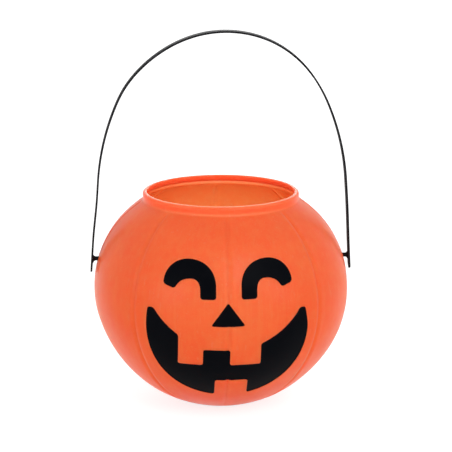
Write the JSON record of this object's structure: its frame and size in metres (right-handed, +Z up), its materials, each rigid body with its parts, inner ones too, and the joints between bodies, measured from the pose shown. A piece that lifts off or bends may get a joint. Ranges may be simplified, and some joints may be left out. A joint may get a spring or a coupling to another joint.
{
  "type": "candy pail",
  "caption": "Round pumpkin-shaped plastic pail with a carved-style painted face, an open neck with a rolled rim and a swinging strap handle for carrying sweets.",
  "frame": {"origin": "centre of the base on the surface that the pail stands on, on the pail's axis", "axes": "+Z up along the pail's axis, -Y out of the painted face, +X to the right of someone who looks at the face, along the handle's pivot axis"},
  "size_m": [0.2212, 0.2148, 0.3173],
  "materials": {
    "orange_plastic": "satin",
    "black_paint": "satin",
    "black_plastic": "satin"
  },
  "bodies": {
    "pail": {"pail_body": "orange_plastic", "left_eye_paint": "black_paint", "right_eye_paint": "black_paint", "nose_paint": "black_paint", "mouth_paint": "black_paint"},
    "handle": {"handle": "black_plastic"}
  },
  "joints": [
    {"name": "handle_swing", "type": "hinge", "parent": "pail", "child": "handle", "pos_m": [0, 0, 0.1245], "axis": [1, 0, 0], "range_deg": [-125, 125]}
  ]
}
